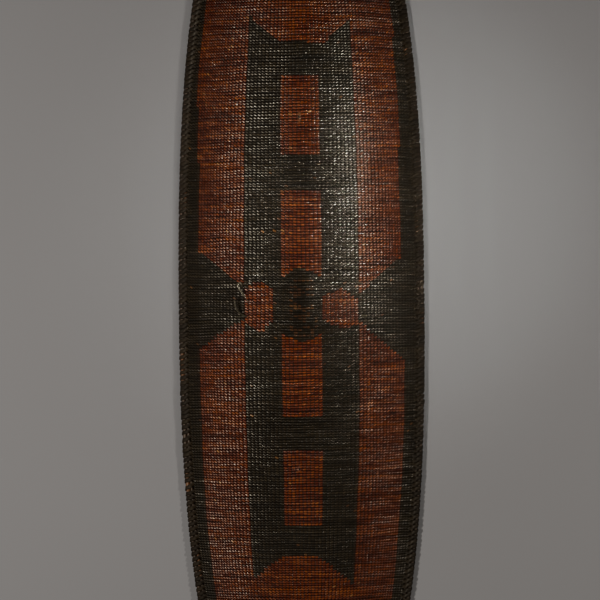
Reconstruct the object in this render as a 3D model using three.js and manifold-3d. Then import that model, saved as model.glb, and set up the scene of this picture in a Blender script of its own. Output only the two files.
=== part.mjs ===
// A long, narrow woven fibre shield with a crowned front, lying face up on its rim.
// Millimetres, +Z up, +Y along the shield, origin on the ground under its middle.
import * as THREE from 'three';
import { mergeVertices } from 'three/addons/utils/BufferGeometryUtils.js';
import Module from 'manifold-3d';

// The shield as a whole. Its outline is a superellipse, whose exponents say how square the ends are.
const shieldLength = 1280;
const shieldWidth = 340;
const crownRise = 58;
const outlineExponentAcross = 3;
const outlineExponentAlong = 2.4;
const crownExponent = 3;

// The woven panel
const weaveThickness = 5;
const panelColumns = 10;

// The two rods of the rim and the strand that is wound round them, through the edge of the weave
const outerRodRadius = 3.4;
const innerRodRadius = 2.6;
const rimClearance = 0.4;
const lashingThickness = 1.5;
const lashingWidth = 16;
const lashingEdgeMargin = 3;
const slotClearance = 0.5;
const rimSegments = 80;
const rimBendCloseness = 90;
const outerRodSides = 8;
const innerRodSides = 6;

// The grip on the back: a bowed bar between two flat feet
const gripSpan = 200;
const gripBarLength = 84;
const gripBarThickness = 18;
const gripBarWidth = 24;
const gripFingerGap = 32;
const gripFootLength = 38;
const gripFootThickness = 8;
const gripFootWidth = 36;
const gripClearance = 0.9;
const gripSides = 10;

// The strands that tie the grip's feet through the weave
const tieDiameter = 2.8;
const tieSpacing = 6.5;
const tieHoleClearance = 0.8;
const tieHoleSides = 6;
const tieCornerInset = 2.5;
const tieSides = 4;
const tieSteps = 54;
const looseEndHeight = 7;

const fibreBlack = new THREE.Color(0x26241c);
const fibreRed = new THREE.Color(0x5f321e);
const rodBrown = new THREE.Color(0x4a2a18);
const gripBrown = new THREE.Color(0x553520);

const rimAxisHeight = outerRodRadius + rimClearance + lashingThickness;
const rimAxisInset = rimAxisHeight / Math.cos(Math.PI / 6);
const innerRodReach = outerRodRadius + rimClearance + innerRodRadius;
const panelEdgeReach = innerRodReach + innerRodRadius + rimClearance;
const slotReach = panelEdgeReach + lashingEdgeMargin;
const tieHoleDiameter = tieDiameter + 2 * tieHoleClearance;

const library = await Module();
library.setup();

function toSolid(geometry) {
  const bare = geometry.clone();
  bare.deleteAttribute('normal');
  bare.deleteAttribute('uv');
  const merged = mergeVertices(bare, 1e-4);
  return new library.Manifold(new library.Mesh({
    numProp: 3,
    vertProperties: new Float32Array(merged.attributes.position.array),
    triVerts: new Uint32Array(merged.index.array),
  }));
}

function toGeometry(solid) {
  const mesh = solid.getMesh();
  const geometry = new THREE.BufferGeometry();
  geometry.setAttribute('position', new THREE.BufferAttribute(mesh.vertProperties, 3));
  geometry.setIndex(new THREE.BufferAttribute(mesh.triVerts, 1));
  return geometry;
}

// Joins rings of points into one closed skin. Without joinEnds, the two ends are closed by flat strips.
function loft(rings, joinEnds) {
  const sides = rings[0].length;
  const triangles = [];
  const last = joinEnds ? rings.length : rings.length - 1;
  for (let row = 0; row < last; row += 1) {
    const here = row * sides;
    const next = ((row + 1) % rings.length) * sides;
    for (let side = 0; side < sides; side += 1) {
      const turn = (side + 1) % sides;
      triangles.push(here + side, here + turn, next + turn);
      triangles.push(here + side, next + turn, next + side);
    }
  }
  if (!joinEnds) {
    const end = (rings.length - 1) * sides;
    for (let side = 0; side < sides / 2 - 1; side += 1) {
      const across = sides - 1 - side;
      triangles.push(side, across, across - 1, side, across - 1, side + 1);
      triangles.push(end + side, end + side + 1, end + across - 1);
      triangles.push(end + side, end + across - 1, end + across);
    }
  }
  const points = rings.flat();
  let volume = 0;
  for (let corner = 0; corner < triangles.length; corner += 3) {
    const [a, b, c] = triangles.slice(corner, corner + 3).map((index) => points[index]);
    volume += a.dot(new THREE.Vector3().crossVectors(b, c));
  }
  if (volume < 0) triangles.reverse();
  const geometry = new THREE.BufferGeometry().setFromPoints(points);
  geometry.setIndex(triangles);
  return geometry;
}

// Height of the weave's middle surface: an arc across the shield, lower towards the ends.
function middleHeight(x, y) {
  const along = Math.abs(y) / (shieldLength / 2 - rimAxisInset);
  const narrowing = (1 - along ** outlineExponentAlong) ** (1 / outlineExponentAcross);
  const halfChord = (shieldWidth / 2 - rimAxisInset) * narrowing;
  const rise = crownRise * (1 - along ** crownExponent);
  const radius = (halfChord ** 2 + rise ** 2) / (2 * rise);
  return rimAxisHeight + Math.sqrt(radius ** 2 - x ** 2) - (radius - rise);
}

function surfaceNormal(x, y) {
  const step = 0.5;
  const slopeX = (middleHeight(x + step, y) - middleHeight(x - step, y)) / (2 * step);
  const slopeY = (middleHeight(x, y + step) - middleHeight(x, y - step)) / (2 * step);
  return new THREE.Vector3(-slopeX, -slopeY, 1).normalize();
}

// A point of the weave, offset from its middle surface along the normal.
function weavePoint(x, y, offset) {
  return new THREE.Vector3(x, y, middleHeight(x, y)).addScaledVector(surfaceNormal(x, y), offset);
}

function signedPower(value, exponent) {
  return Math.sign(value) * Math.abs(value) ** exponent;
}

function outlinePoint(angle) {
  const x = (shieldWidth / 2) * signedPower(Math.cos(angle), 2 / outlineExponentAcross);
  const y = (shieldLength / 2) * signedPower(Math.sin(angle), 2 / outlineExponentAlong);
  return new THREE.Vector3(x, y, 0);
}

function outlineNormal(point) {
  const halfWidth = shieldWidth / 2;
  const halfLength = shieldLength / 2;
  const acrossPart = signedPower(point.x / halfWidth, outlineExponentAcross - 1);
  const alongPart = signedPower(point.y / halfLength, outlineExponentAlong - 1);
  const across = (outlineExponentAcross / halfWidth) * acrossPart;
  const along = (outlineExponentAlong / halfLength) * alongPart;
  return new THREE.Vector3(across, along, 0).normalize();
}

// The stations of the rim, closer together where it bends. The middle of a step lies on each axis.
function rimStations() {
  const samples = 6000;
  const lengths = [0];
  const points = [outlinePoint(0)];
  for (let sample = 1; sample <= samples; sample += 1) {
    points.push(outlinePoint((Math.PI / 2) * (sample / samples)));
    const length = points[sample].distanceTo(points[sample - 1]);
    const bend = outlineNormal(points[sample]).angleTo(outlineNormal(points[sample - 1]));
    lengths.push(lengths[sample - 1] + length + bend * rimBendCloseness);
  }
  const perQuarter = rimSegments / 4;
  const quarter = [];
  let sample = 0;
  for (let index = 0; index < perQuarter; index += 1) {
    const wanted = (lengths[samples] * (index + 0.5)) / perQuarter;
    while (lengths[sample] < wanted) sample += 1;
    quarter.push(points[sample]);
  }
  const mirrored = (list, x, y) => list.map((point) => new THREE.Vector3(point.x * x, point.y * y, 0));
  return [
    ...quarter,
    ...mirrored(quarter, -1, 1).reverse(),
    ...mirrored(quarter, -1, -1),
    ...mirrored(quarter, 1, -1).reverse(),
  ];
}

// At each station: the outer rod's centre, the level direction inwards and the way up the weave.
const stations = rimStations().map((point) => {
  const inwards = outlineNormal(point).negate();
  const centre = point.clone().addScaledVector(inwards, rimAxisInset);
  centre.z = rimAxisHeight;
  const inner = centre.clone().addScaledVector(inwards, slotReach);
  inner.z = middleHeight(inner.x, inner.y);
  return { centre, inwards, upWeave: inner.sub(centre).normalize() };
});

// A frame on the straight stretch between two stations, so that lashings lie true on the rods.
function rimFrame(position) {
  const index = Math.floor(position);
  const share = position - index;
  const from = stations[(index + rimSegments) % rimSegments];
  const to = stations[(index + 1 + rimSegments) % rimSegments];
  const centre = from.centre.clone().lerp(to.centre, share);
  const along = to.centre.clone().sub(from.centre).normalize();
  const inwards = new THREE.Vector3(-along.y, along.x, 0);
  const upWeave = from.upWeave.clone().lerp(to.upWeave, share);
  upWeave.addScaledVector(along, -upWeave.dot(along)).normalize();
  const normal = new THREE.Vector3().crossVectors(along, upWeave).normalize();
  if (normal.z < 0) normal.negate();
  return { centre, along, inwards, upWeave, normal };
}

function rodRings(radius, sides, reach) {
  return stations.map(({ centre, inwards, upWeave }) => {
    const middle = centre.clone().addScaledVector(upWeave, reach);
    return Array.from({ length: sides }, (_, side) => {
      const turn = (2 * Math.PI * (side + 0.5)) / sides;
      return middle.clone()
        .addScaledVector(inwards, radius * Math.cos(turn))
        .addScaledVector(new THREE.Vector3(0, 0, 1), radius * Math.sin(turn));
    });
  });
}

const wraps = Array.from({ length: rimSegments / 2 }, (_, index) => rimFrame(2 * index - 0.5));

// The loop of one wrap as seen along the rim: round the outer rod, over both rods and through the weave.
function wrapCorner(frame, corner, lift) {
  const hexagonTurns = [-60, -120, 180, 120];
  if (corner < hexagonTurns.length) {
    const turn = THREE.MathUtils.degToRad(hexagonTurns[corner]);
    const radius = (outerRodRadius + rimClearance + lift) / Math.cos(Math.PI / 6);
    return frame.centre.clone()
      .addScaledVector(frame.inwards, radius * Math.cos(turn))
      .addScaledVector(new THREE.Vector3(0, 0, 1), radius * Math.sin(turn));
  }
  const face = corner === hexagonTurns.length ? 1 : -1;
  return frame.centre.clone()
    .addScaledVector(frame.upWeave, slotReach + lift)
    .addScaledVector(frame.normal, face * (weaveThickness / 2 + rimClearance + lift));
}

function strandRing(low, high, along) {
  const half = lashingWidth / 2;
  return [
    low.clone().addScaledVector(along, -half),
    low.clone().addScaledVector(along, half),
    high.clone().addScaledVector(along, half),
    high.clone().addScaledVector(along, -half),
  ];
}

// One strand, wound on round the whole rim: each wrap, then a slanting run under it to the next wrap.
function lashingRings() {
  const corners = 6;
  const rings = [];
  wraps.forEach((frame, index) => {
    for (let corner = 0; corner < corners; corner += 1) {
      const low = wrapCorner(frame, corner, 0);
      const high = wrapCorner(frame, corner, lashingThickness);
      rings.push(strandRing(low, high, frame.along));
    }
    for (const share of [1 / 3, 2 / 3]) {
      const between = rimFrame(2 * index - 0.5 + 2 * share);
      const [low, high] = [0, lashingThickness].map((lift) => {
        const start = wrapCorner(between, corners - 1, lift);
        return start.lerp(wrapCorner(between, 0, lift), share);
      });
      rings.push(strandRing(low, high, between.along));
    }
  });
  return rings;
}

function slotCutters() {
  return wraps.map((frame) => {
    const size = [
      lashingThickness + 2 * slotClearance,
      lashingWidth + 2 * slotClearance,
      4 * weaveThickness,
    ];
    const cutter = new THREE.BoxGeometry(...size);
    const middle = frame.centre.clone()
      .addScaledVector(frame.upWeave, slotReach + lashingThickness / 2);
    const acrossWeave = new THREE.Vector3().crossVectors(frame.along, frame.normal);
    cutter.applyMatrix4(new THREE.Matrix4().makeBasis(acrossWeave, frame.along, frame.normal));
    return cutter.translate(middle.x, middle.y, middle.z);
  });
}

// Where the tie of a foot passes through the weave: three columns of holes, with one row of them on
// each side of the foot. The side is -1 (left) or 1 (right).
const tieColumns = [1, 0, -1];
const tieMiddle = gripSpan / 2 - gripFootLength / 2;
const tieHalfHeight = gripFootWidth / 2 + gripClearance + tieHoleDiameter / 2 + gripClearance;

function tieHole(side, column, row) {
  return { x: side * (tieMiddle + column * tieSpacing), y: row * tieHalfHeight };
}

function tieCutters() {
  const cutters = [];
  for (const side of [-1, 1]) {
    for (const column of tieColumns) {
      for (const row of [-1, 1]) {
        const { x, y } = tieHole(side, column, row);
        const radius = tieHoleDiameter / 2;
        const cutter = new THREE.CylinderGeometry(radius, radius, 4 * weaveThickness, tieHoleSides);
        const upright = new THREE.Vector3(0, 1, 0);
        cutter.applyQuaternion(new THREE.Quaternion().setFromUnitVectors(upright, surfaceNormal(x, y)));
        cutters.push(cutter.translate(x, y, middleHeight(x, y)));
      }
    }
  }
  return cutters;
}

function wovenPanel() {
  const quarter = rimSegments / 4;
  const rings = [];
  for (let index = -quarter; index < quarter; index += 1) {
    const station = stations[(index + rimSegments) % rimSegments];
    const edge = station.centre.clone().addScaledVector(station.upWeave, panelEdgeReach);
    const ring = [];
    for (let column = 0; column <= panelColumns; column += 1) {
      const x = edge.x * ((2 * column) / panelColumns - 1);
      ring.push(weavePoint(x, edge.y, weaveThickness / 2));
    }
    for (let column = panelColumns; column >= 0; column -= 1) {
      const x = edge.x * ((2 * column) / panelColumns - 1);
      ring.push(weavePoint(x, edge.y, -weaveThickness / 2));
    }
    rings.push(ring);
  }
  let solid = toSolid(loft(rings, false));
  for (const cutter of [...slotCutters(), ...tieCutters()]) {
    solid = solid.subtract(toSolid(cutter));
  }
  return toGeometry(solid);
}

// The grip's middle line in the XZ plane, from foot to foot, with its section at each point.
function gripStations() {
  const footDepth = weaveThickness / 2 + gripClearance + gripFootThickness / 2;
  const barHeight = weavePoint(0, 0, -weaveThickness / 2).z - gripFingerGap - gripBarThickness / 2;
  const footStart = gripSpan / 2;
  const footEnd = footStart - gripFootLength;
  const onFoot = (x) => ({
    point: weavePoint(x, 0, -footDepth),
    thickness: gripFootThickness,
    width: gripFootWidth,
    roundness: 0.6,
  });
  const onBar = (x) => ({
    point: new THREE.Vector3(x, 0, barHeight),
    thickness: gripBarThickness,
    width: gripBarWidth,
    roundness: 1,
  });
  const legPoint = (side) => {
    const foot = onFoot(side * footEnd);
    const bar = onBar((side * gripBarLength) / 2);
    return {
      point: foot.point.lerp(bar.point, 0.5),
      thickness: (gripFootThickness + gripBarThickness) / 2,
      width: (gripFootWidth + gripBarWidth) / 2,
      roundness: 0.8,
    };
  };
  const half = [onFoot(-footStart), onFoot(-(footStart + footEnd) / 2), onFoot(-footEnd), legPoint(-1)];
  const bar = [-1, -0.5, 0, 0.5, 1].map((share) => onBar((share * gripBarLength) / 2));
  const otherHalf = [legPoint(1), onFoot(footEnd), onFoot((footStart + footEnd) / 2), onFoot(footStart)];
  return [...half, ...bar, ...otherHalf];
}

// The grip's top is bedded against the inside of the weave, with its clearance.
function bedded(point) {
  const depth = (weaveThickness / 2 + gripClearance) / surfaceNormal(point.x, point.y).z;
  point.z = Math.min(point.z, middleHeight(point.x, point.y) - depth);
  return point;
}

function gripRings() {
  const line = gripStations();
  const curve = new THREE.CatmullRomCurve3(line.map(({ point }) => point), false, 'centripetal');
  const stepsPerStretch = 2;
  const steps = (line.length - 1) * stepsPerStretch;
  const rings = [];
  for (let step = 0; step <= steps; step += 1) {
    const index = Math.min(Math.floor(step / stepsPerStretch), line.length - 2);
    const share = step / stepsPerStretch - index;
    const middle = curve.getPoint(step / steps);
    const along = curve.getTangent(step / steps);
    const outwards = new THREE.Vector3(-along.z, 0, along.x);
    const between = (key) => THREE.MathUtils.lerp(line[index][key], line[index + 1][key], share);
    rings.push(Array.from({ length: gripSides }, (_, side) => {
      const turn = (2 * Math.PI * (side + 0.5)) / gripSides;
      const y = (between('width') / 2) * signedPower(Math.cos(turn), between('roundness'));
      const depth = (between('thickness') / 2) * signedPower(Math.sin(turn), between('roundness'));
      const point = middle.clone().addScaledVector(outwards, depth).setY(y);
      return bedded(point);
    }));
  }
  return rings;
}

// A tie goes down a hole, under the foot and up through the hole across from it, then in a short
// stitch over the front to the next hole, and so on. With three columns it ends on the other side.
function tieGeometry(side, looseEnds) {
  const radius = tieDiameter / 2;
  const over = weaveThickness / 2 + gripClearance + radius;
  const under = over + gripFootThickness + gripClearance;
  const downToFoot = ({ x, y }) => [
    weavePoint(x, y, over - radius),
    weavePoint(x, y, -weaveThickness / 2),
    weavePoint(x, y, -(under - gripFootThickness / 2)),
    weavePoint(x, y - Math.sign(y) * tieCornerInset, -under),
  ];
  const points = looseEnds[0].slice();
  tieColumns.forEach((column, index) => {
    const row = index % 2 === 0 ? 1 : -1;
    const down = tieHole(side, column, row);
    const up = tieHole(side, column, -row);
    points.push(...downToFoot(down), ...downToFoot(up).reverse());
    const next = tieColumns[index + 1];
    if (next !== undefined) {
      const middle = (up.x + tieHole(side, next, -row).x) / 2;
      points.push(weavePoint(middle, up.y, over));
    }
  });
  points.push(...looseEnds[1]);
  const circle = new THREE.Shape();
  for (let corner = 0; corner < tieSides; corner += 1) {
    const turn = (2 * Math.PI * corner) / tieSides;
    const place = [radius * Math.cos(turn), radius * Math.sin(turn)];
    if (corner === 0) circle.moveTo(...place);
    else circle.lineTo(...place);
  }
  circle.closePath();
  const path = new THREE.CatmullRomCurve3(points, false, 'centripetal');
  return new THREE.ExtrudeGeometry(circle, { steps: tieSteps, bevelEnabled: false, extrudePath: path });
}

// The loose ends on the left stand off the front: a hook with a tail and a curl, drawn from their holes.
function looseEnd(hole, steps) {
  return steps.map(([x, y, share]) => weavePoint(hole.x + x, hole.y + y, looseEndHeight * share));
}

const leftEnds = [
  looseEnd(tieHole(-1, 1, 1), [[16, -23, 0.65], [8, -11, 1], [4, 0, 1.2]]),
  looseEnd(tieHole(-1, -1, -1), [[-6, 3, 0.8], [-12, 9, 1], [-14.5, 17, 1.1], [-14.5, 27, 1.2]]),
];

function piece(name, geometry, color, roughness) {
  geometry.computeVertexNormals();
  const material = new THREE.MeshStandardMaterial({ color, roughness, metalness: 0 });
  const mesh = new THREE.Mesh(geometry, material);
  mesh.name = name;
  return mesh;
}

const shield = new THREE.Group();
shield.add(piece('woven_panel', wovenPanel(), fibreRed, 0.6));
shield.add(piece('rim_rod_outer', loft(rodRings(outerRodRadius, outerRodSides, 0), true), rodBrown, 0.5));
shield.add(piece(
  'rim_rod_inner', loft(rodRings(innerRodRadius, innerRodSides, innerRodReach), true), rodBrown, 0.5,
));
shield.add(piece('rim_lashing', loft(lashingRings(), true), fibreBlack, 0.5));
shield.add(piece('grip', loft(gripRings(), false), gripBrown, 0.55));
shield.add(piece('grip_lashing_left', tieGeometry(-1, leftEnds), fibreBlack, 0.5));
shield.add(piece('grip_lashing_right', tieGeometry(1, [[], []]), fibreBlack, 0.5));

export default shield;
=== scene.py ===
import math
import bpy
import numpy as np
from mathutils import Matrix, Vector


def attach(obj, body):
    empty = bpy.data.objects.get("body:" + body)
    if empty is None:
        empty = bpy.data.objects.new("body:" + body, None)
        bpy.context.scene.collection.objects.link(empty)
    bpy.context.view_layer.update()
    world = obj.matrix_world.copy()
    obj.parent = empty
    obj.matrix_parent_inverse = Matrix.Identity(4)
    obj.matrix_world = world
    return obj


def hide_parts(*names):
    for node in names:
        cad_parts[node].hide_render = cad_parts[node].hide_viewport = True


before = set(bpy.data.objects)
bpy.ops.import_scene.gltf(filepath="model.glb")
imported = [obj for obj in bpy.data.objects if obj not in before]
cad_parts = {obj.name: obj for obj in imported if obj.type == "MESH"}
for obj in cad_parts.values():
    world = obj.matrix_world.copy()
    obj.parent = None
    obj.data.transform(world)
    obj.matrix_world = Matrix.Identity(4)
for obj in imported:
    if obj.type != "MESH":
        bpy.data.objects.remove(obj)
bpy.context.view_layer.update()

# The view: the shield lies face up and the camera looks straight down on it from far off, as in the
# photograph, whose upper and lower edges cut off both ends and in which the shield leans a little.
camera_height = 3.2
view_height = 0.829
camera_aside = -0.0022
camera_lean = -0.49
camera_data = bpy.data.cameras.new("camera")
camera_data.sensor_width = 36
camera_data.lens = camera_data.sensor_width * camera_height / view_height
camera_data.clip_end = 20
camera = bpy.data.objects.new("camera", camera_data)
camera.location = (camera_aside, 0, camera_height)
camera.rotation_euler = (0, 0, math.radians(camera_lean))
bpy.context.scene.collection.objects.link(camera)
bpy.context.scene.camera = camera


# The floor: a wide sheet of pale, matt grey paper, barely mottled, that the shield lies on. It is
# rolled out flat and has no edge within the picture.
def add_node(tree, kind, inputs=None, **settings):
    """A new node of a tree. An input, by name or number, gets a value or another node's output."""
    node = tree.nodes.new(kind)
    for name, value in settings.items():
        setattr(node, name, value)
    for name, value in (inputs or {}).items():
        if isinstance(value, bpy.types.NodeSocket):
            tree.links.new(value, node.inputs[name])
        else:
            node.inputs[name].default_value = value
    return node


def new_material(name):
    """A material with an empty Principled BSDF, its tree and that shader."""
    material = bpy.data.materials.new(name)
    material.use_nodes = True
    tree = material.node_tree
    shader = next(node for node in tree.nodes if node.type == "BSDF_PRINCIPLED")
    return material, tree, shader


def mix_colour(tree, factor, first, second):
    """The output of a node that mixes two colours."""
    inputs = {"Factor": factor, "A": first, "B": second}
    node = tree.nodes.new("ShaderNodeMix")
    node.data_type = "RGBA"
    for name, value in inputs.items():
        socket = next(socket for socket in node.inputs if socket.name == name and socket.enabled)
        if isinstance(value, bpy.types.NodeSocket):
            tree.links.new(value, socket)
        else:
            socket.default_value = value
    return next(socket for socket in node.outputs if socket.enabled)


floor_size = 12
paper_grey = (0.192, 0.205, 0.255, 1)
paper_mottle = (0.210, 0.224, 0.277, 1)
floor_material, tree, shader = new_material("floor_paper")
place = add_node(tree, "ShaderNodeTexCoord")
mottle = add_node(tree, "ShaderNodeTexNoise", {"Vector": place.outputs["Object"], "Scale": 1.5})
tint = mix_colour(tree, mottle.outputs["Fac"], paper_grey, paper_mottle)
tree.links.new(tint, shader.inputs["Base Color"])
shader.inputs["Roughness"].default_value = 0.9
floor_mesh = bpy.data.meshes.new("floor")
corners = [(-1, -1), (1, -1), (1, 1), (-1, 1)]
floor_corners = [(x * floor_size / 2, y * floor_size / 2, 0) for x, y in corners]
floor_mesh.from_pydata(floor_corners, [], [(0, 1, 2, 3)])
floor_mesh.materials.append(floor_material)
floor = bpy.data.objects.new("floor", floor_mesh)
bpy.context.scene.collection.objects.link(floor)


# The light: a wide, soft, warm lamp on the left gives most of it, and a weaker one lower on the right
# fills the far side. A narrow one on the right picks out the worn sheen, and the room itself is dim.
def soft_lamp(name, aside, forward, distance, size, power, beam, colour, aim):
    """A square lamp at two angles from straight above, in degrees, turned to a point of the shield."""
    data = bpy.data.lights.new(name, "AREA")
    data.size = size
    data.energy = power
    data.spread = math.radians(beam)
    data.color = colour
    lamp = bpy.data.objects.new(name, data)
    direction = Vector((math.tan(math.radians(aside)), math.tan(math.radians(forward)), 1.0))
    lamp.location = direction.normalized() * distance
    lamp.rotation_euler = (lamp.location - Vector(aim)).to_track_quat("Z", "Y").to_euler()
    bpy.context.scene.collection.objects.link(lamp)


lamp_distance = 2.4
lamp_size = 0.16
soft_lamp(
    "lamp_right", aside=27, forward=8, distance=lamp_distance, size=lamp_size, power=0.35, beam=18,
    colour=(1.0, 0.94, 0.74), aim=(0.10, 0.13, 0),
)
soft_lamp(
    "lamp_left", aside=-40, forward=-4, distance=lamp_distance, size=lamp_size, power=25.5, beam=140,
    colour=(1.0, 0.88, 0.68), aim=(-0.05, -0.05, 0),
)
soft_lamp(
    "lamp_low", aside=50, forward=-8, distance=lamp_distance, size=lamp_size, power=14.0, beam=140,
    colour=(1.0, 0.88, 0.67), aim=(0.05, -0.03, 0),
)
world = bpy.data.worlds.new("room")
world.use_nodes = True
room = next(node for node in world.node_tree.nodes if node.type == "BACKGROUND")
room.inputs["Color"].default_value = (1, 0.92, 0.84, 1)
room.inputs["Strength"].default_value = 0.035
bpy.context.scene.world = world

# The woven panel: thin upright canes, hidden by rows of fine fibre that is twined round them in
# pairs, black and red-brown. Every bead that shows is one strand passing over one cane. The fabric
# is made in five bands of rows, so that none is too heavy.
shield_length = 1.280
shield_width = 0.340
crown_rise = 0.058
outline_exponent_across = 3
outline_exponent_along = 2.4
crown_exponent = 3
rim_axis_height = 0.0053
rim_axis_inset = rim_axis_height / math.cos(math.pi / 6)
slot_reach = 0.0124
panel_edge_reach = 0.0094

cane_pitch_middle = 0.00545
cane_pitch_edge = 0.0040
row_pitch_upper = 0.0040
row_pitch_lower = 0.0034
fabric_half_thickness = 0.0026
front_relief = 0.0016
back_relief = 0.0013
band_count = 5
end_taper_start = 0.450
stitch_swing = 0.26
swing_shares = [0.0, 0.18, 0.82, 1.0]
swing_sides = [0.0, 1.0, -1.0, 0.0]
calm_edge = 0.02
row_sway = 0.0005
row_sway_length = 0.09
cane_sway = 0.0006
cane_sway_length = 0.11
cane_sway_closeness = 3
lean_sharpness = 5
lean_shift = 0.10
lean_shift_length = 0.35
rng = np.random.default_rng(17)


def middle_height(x, y):
    """Height of the fabric's middle surface: an arc across the shield, lower towards the ends."""
    along = np.abs(y) / (shield_length / 2 - rim_axis_inset)
    narrowing = (1 - along**outline_exponent_along) ** (1 / outline_exponent_across)
    half_chord = (shield_width / 2 - rim_axis_inset) * narrowing
    rise = crown_rise * (1 - along**crown_exponent)
    radius = (half_chord**2 + rise**2) / (2 * rise)
    return rim_axis_height + np.sqrt(radius**2 - x**2) - (radius - rise)


def surface_normal(x, y):
    """The direction straight out of the fabric's front."""
    step = 0.0005
    slope_x = (middle_height(x + step, y) - middle_height(x - step, y)) / (2 * step)
    slope_y = (middle_height(x, y + step) - middle_height(x, y - step)) / (2 * step)
    normal = np.stack([-slope_x, -slope_y, np.ones_like(slope_x)], axis=-1)
    return normal / np.linalg.norm(normal, axis=-1, keepdims=True)


def weave_point(x, y, offset):
    """A point of the fabric, offset from its middle surface towards the front."""
    x = np.asarray(x, float)
    y = np.asarray(y, float)
    point = np.stack([x, y, middle_height(x, y)], axis=-1)
    return point + surface_normal(x, y) * np.asarray(offset, float)[..., None]


def outline_quarter(samples):
    """Points of the shield's outline from its right side to its upper end, with level normals."""
    angle = np.linspace(0, math.pi / 2, samples)
    across = np.cos(angle).clip(0) ** (2 / outline_exponent_across)
    along = np.sin(angle) ** (2 / outline_exponent_along)
    point = np.stack([across * shield_width / 2, along * shield_length / 2, 0 * angle], axis=-1)
    normal_x = outline_exponent_across / (shield_width / 2) * across ** (outline_exponent_across - 1)
    normal_y = outline_exponent_along / (shield_length / 2) * along ** (outline_exponent_along - 1)
    normal = np.stack([normal_x, normal_y, 0 * angle], axis=-1)
    return point, normal / np.linalg.norm(normal, axis=-1, keepdims=True)


def up_the_weave(centre, inwards):
    """The way from the outer rod's centre up the fabric."""
    inner = centre + inwards * slot_reach
    inner[..., 2] = middle_height(inner[..., 0], inner[..., 1])
    direction = inner - centre
    return direction / np.linalg.norm(direction, axis=-1, keepdims=True)


quarter_point, quarter_normal = outline_quarter(2000)
quarter_centre = quarter_point - quarter_normal * rim_axis_inset
quarter_centre[:, 2] = rim_axis_height
panel_edge = quarter_centre + up_the_weave(quarter_centre, -quarter_normal) * panel_edge_reach
panel_half_length = panel_edge[-1, 1]


def edge_half_width(y):
    """Half the panel's width at a height y."""
    return np.interp(np.abs(y), panel_edge[:, 1], panel_edge[:, 0])


def cane_half_width(y):
    """How far out the outermost cane lies. Near the ends the canes run on straight into the rim."""
    step = 0.001
    start = edge_half_width(end_taper_start)
    slope = (edge_half_width(end_taper_start + step) - start) / step
    beyond = np.maximum(np.abs(y) - end_taper_start, 0)
    return np.where(beyond > 0, start + slope * beyond, edge_half_width(y))


def cane_edges():
    """Where one cane's beads end and the next one's start, as shares of the half width."""
    edges = [0.0]
    middle_half_width = edge_half_width(0)
    while edges[-1] < middle_half_width - cane_pitch_edge / 2:
        share = np.clip((edges[-1] - 0.060) / 0.070, 0, 1)
        blend = share * share * (3 - 2 * share)
        edges.append(edges[-1] + cane_pitch_middle + (cane_pitch_edge - cane_pitch_middle) * blend)
    right = np.array(edges) / edges[-1]
    return np.concatenate([-right[:0:-1], right])


def row_edges():
    """The heights y between the rows of stitches, from the lower end to the upper end."""
    stop = panel_half_length - 0.0012
    edges = [-stop]
    while edges[-1] < stop:
        share = np.clip((edges[-1] + 0.40) / 0.80, 0, 1)
        pitch = row_pitch_lower + (row_pitch_upper - row_pitch_lower) * share
        edges.append(edges[-1] + pitch * rng.uniform(0.90, 1.10))
    edges = np.array(edges)
    return -stop + (edges + stop) * (2 * stop) / (edges[-1] + stop)


# The pattern, in metres across (as at the shield's middle) and up the shield. Each shape is red on
# black: the side panels, the four windows of the ladder, the two hexagons and the open ends.
frame_edge = 0.0775
border_edge = 0.1385
border_heights = [-0.41, -0.30, -0.21, 0.0, 0.235, 0.345, 0.41]
border_left = [0.0155, 0.0135, 0.0110, 0.0105, 0.0100, 0.0080, 0.0070]
border_right = [0.0155, 0.0155, 0.0155, 0.0155, 0.0135, 0.0145, 0.0115]
end_border = 0.606
window_edge = 0.0273
far_end = 0.70
drift_heights = [-0.374, -0.231, -0.095, 0.0, 0.136, 0.384]
drift_sides = [0.0, 0.0014, -0.0001, -0.0018, -0.0015, 0.0015]
red_shapes = [
    [(-border_edge, 0.069), (-0.084, 0.026), (-frame_edge, 0.022), (-frame_edge, far_end),
     (-0.165, far_end), (-0.145, 0.235), (-border_edge, 0.150)],
    [(-border_edge, -0.065), (-frame_edge, -0.025), (-frame_edge, -far_end),
     (-0.165, -far_end), (-0.140, -0.20)],
    [(border_edge, 0.059), (frame_edge, 0.0055), (frame_edge, far_end), (0.155, far_end),
     (border_edge, 0.20)],
    [(border_edge, -0.081), (frame_edge, -0.029), (frame_edge, -far_end), (border_edge, -far_end)],
    [(-window_edge, 0.198), (window_edge, 0.198), (window_edge, 0.304), (-window_edge, 0.304)],
    [(-window_edge, 0.149), (-window_edge, 0.031), (-0.008, 0.0425), (0.008, 0.0425),
     (window_edge, 0.031), (window_edge, 0.149)],
    [(-window_edge, -0.159), (-window_edge, -0.046), (0.003, -0.058), (window_edge, -0.046),
     (window_edge, -0.159)],
    [(-window_edge, -0.305), (window_edge, -0.305), (window_edge, -0.203), (-window_edge, -0.203)],
    [(-frame_edge, 0.0100), (-0.068, 0.021), (-0.058, 0.025), (-0.050, 0.0245), (-0.035, 0.010),
     (-0.035, -0.026), (-0.054, -0.043), (-frame_edge, -0.026)],
    [(frame_edge, -0.0015), (0.056, 0.017), (0.0315, 0.005), (0.0315, -0.026), (0.056, -0.0415),
     (frame_edge, -0.032)],
    [(-frame_edge, 0.387), (-0.035, 0.353), (0.034, 0.349), (frame_edge, 0.384),
     (frame_edge, far_end), (-frame_edge, far_end)],
    [(-frame_edge, -0.379), (-0.033, -0.348), (0.022, -0.348), (frame_edge, -0.389),
     (frame_edge, -far_end), (-frame_edge, -far_end)],
]


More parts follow.
